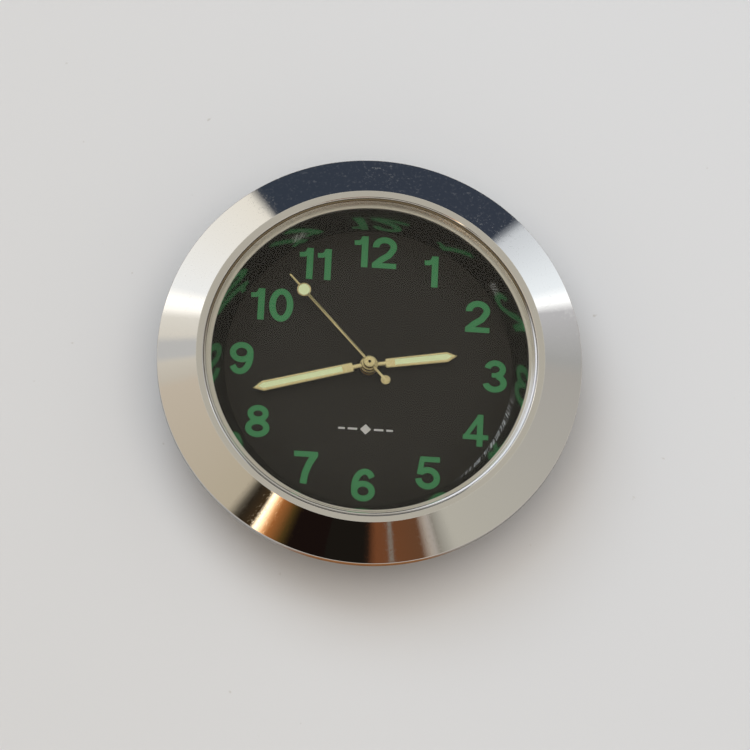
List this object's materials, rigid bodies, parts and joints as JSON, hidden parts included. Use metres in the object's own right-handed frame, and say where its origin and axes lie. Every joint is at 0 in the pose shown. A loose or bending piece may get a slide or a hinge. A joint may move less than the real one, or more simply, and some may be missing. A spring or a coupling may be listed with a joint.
{
  "type": "deck clock",
  "caption": "Small round quartz insert clock: wide mirror-polished flared bezel, domed crystal, black dial with green numerals, luminous hands, ribbed plastic case and a setting button.",
  "frame": {"origin": "on the clock's axis at the outer face of the rear cover; the clock lies on its back", "axes": "+Z out of the dial along the clock's axis, +Y towards 12 o'clock, +X towards 3 o'clock and the setting button"},
  "size_m": [0.043, 0.043, 0.0094],
  "materials": {
    "polished_metal": "mirror polish",
    "mirror_ring": "mirror polish",
    "clear_glass": "polished",
    "seal_rubber": "matte",
    "gasket_nylon": "matte",
    "black_plastic": "matte",
    "grip_rubber": "matte",
    "brushed_cover": "brushed",
    "plain_steel": "satin",
    "brass_tube": "turned",
    "dial_paint": "matte",
    "white_nylon": "matte",
    "movement_plate": "semi-gloss",
    "nickel_brass": "satin",
    "gear_brass": "polished",
    "cell_steel": "satin",
    "board_laminate": "matte",
    "chip_resin": "matte",
    "coil_copper": "enamelled",
    "magnet_grey": "satin",
    "gear_plastic": "matte",
    "hand_gilt": "polished",
    "luminous_fill": "matte"
  },
  "bodies": {
    "case": {"bezel": "polished_metal", "crystal": "clear_glass", "crystal_gasket": "gasket_nylon", "dial_ring": "mirror_ring", "case_body": "black_plastic", "grip_ring": "grip_rubber", "crown_tube": "brass_tube", "lever_posts": "nickel_brass", "dial": "dial_paint", "dial_feet": "brass_tube", "movement_holder": "white_nylon", "main_plate": "movement_plate", "train_bridge": "nickel_brass", "bridge_screws": "plain_steel", "clamp_screws": "plain_steel", "battery": "cell_steel", "battery_clamp": "nickel_brass", "circuit_board": "board_laminate", "chip": "chip_resin", "quartz_can": "cell_steel", "coil_core": "plain_steel", "coil_winding": "coil_copper", "stator": "nickel_brass", "stator_screws": "plain_steel", "motion_posts": "nickel_brass", "dial_washer": "gear_brass"},
    "cover": {"rear_cover": "brushed_cover", "cover_gasket": "seal_rubber"},
    "button_seal": {"crown_gasket": "seal_rubber"},
    "button": {"crown": "plain_steel", "setting_stem": "plain_steel"},
    "clutch": {"clutch_wheel": "plain_steel"},
    "lever": {"setting_lever": "plain_steel"},
    "yoke_arm": {"yoke": "plain_steel"},
    "rotor": {"rotor_magnet": "magnet_grey", "rotor_pinion": "gear_plastic"},
    "fifth": {"fifth_wheel": "gear_plastic", "fifth_pinion": "gear_plastic"},
    "seconds": {"fourth_wheel": "gear_brass", "seconds_arbor": "plain_steel", "second_hand": "hand_gilt", "second_hand_lume": "luminous_fill", "second_hand_collet": "hand_gilt"},
    "third": {"third_wheel": "gear_brass", "third_pinion": "plain_steel"},
    "minutes": {"centre_wheel": "gear_brass", "cannon_pinion": "gear_brass", "minute_hand": "hand_gilt", "minute_hand_lume": "luminous_fill"},
    "motion": {"minute_wheel": "gear_plastic"},
    "hours": {"hour_wheel": "gear_brass", "hour_hand": "hand_gilt", "hour_hand_lume": "luminous_fill"},
    "setting": {"setting_wheel": "plain_steel"}
  },
  "joints": [
    {"name": "second_hand_turn", "type": "hinge", "parent": "case", "child": "seconds", "pos_m": [0, 0, 0.004], "axis": [0, 0, -1], "continuous": true},
    {"name": "third_wheel_turn", "type": "hinge", "parent": "case", "child": "third", "pos_m": [-0.0009, 0.00156, 0.0023], "axis": [0, 0, -1], "continuous": true},
    {"name": "minute_hand_turn", "type": "hinge", "parent": "case", "child": "minutes", "pos_m": [0, 0, 0.004], "axis": [0, 0, -1], "continuous": true},
    {"name": "minute_wheel_turn", "type": "hinge", "parent": "case", "child": "motion", "pos_m": [0.00167, 0.00117, 0.0039], "axis": [0, 0, -1], "continuous": true},
    {"name": "hour_hand_turn", "type": "hinge", "parent": "case", "child": "hours", "pos_m": [0, 0, 0.0045], "axis": [0, 0, -1], "continuous": true},
    {"name": "fifth_wheel_turn", "type": "hinge", "parent": "case", "child": "fifth", "pos_m": [-0.00157, -0.0011, 0.0023], "axis": [0, 0, -1], "continuous": true},
    {"name": "rotor_turn", "type": "hinge", "parent": "case", "child": "rotor", "pos_m": [-0.00186, -0.00276, 0.0022], "axis": [0, 0, -1], "continuous": true},
    {"name": "setting_wheel_turn", "type": "hinge", "parent": "case", "child": "setting", "pos_m": [0.00355, 0, 0.00375], "axis": [0, 0, -1], "continuous": true},
    {"name": "button_pull", "type": "slide", "parent": "case", "child": "button_seal", "axis": [1, 0, 0], "range_m": [0, 0.0006]},
    {"name": "button_turn", "type": "hinge", "parent": "button_seal", "child": "button", "pos_m": [0.017, 0, 0.0027], "axis": [1, 0, 0], "continuous": true},
    {"name": "clutch_slide", "type": "slide", "parent": "button", "child": "clutch", "axis": [-1, 0, 0], "range_m": [0, 0.0011]},
    {"name": "lever_swing", "type": "hinge", "parent": "case", "child": "lever", "pos_m": [0.0072, -0.0018, 0.0019], "axis": [0, 0, -1], "range_deg": [0, 19]},
    {"name": "yoke_swing", "type": "hinge", "parent": "case", "child": "yoke_arm", "pos_m": [0.00528, 0.0024, 0.0019], "axis": [0, 0, -1], "range_deg": [0, 12]},
    {"name": "cover_lift", "type": "slide", "parent": "case", "child": "cover", "axis": [0, 0, -1], "range_m": [0, 0.01]}
  ],
  "couplings": [
    {"joint": "third_wheel_turn", "follows": "second_hand_turn", "ratio": -0.13333},
    {"joint": "minute_hand_turn", "follows": "second_hand_turn", "ratio": 0.016667},
    {"joint": "minute_wheel_turn", "follows": "second_hand_turn", "ratio": -0.0055556},
    {"joint": "hour_hand_turn", "follows": "second_hand_turn", "ratio": 0.0013889},
    {"joint": "fifth_wheel_turn", "follows": "second_hand_turn", "ratio": -5},
    {"joint": "rotor_turn", "follows": "second_hand_turn", "ratio": 30},
    {"joint": "setting_wheel_turn", "follows": "second_hand_turn", "ratio": 0.0125},
    {"joint": "clutch_slide", "follows": "button_pull", "ratio": 1.8333},
    {"joint": "lever_swing", "follows": "button_pull", "rad_per_m": 550.5},
    {"joint": "yoke_swing", "follows": "button_pull", "rad_per_m": 345.97}
  ]
}
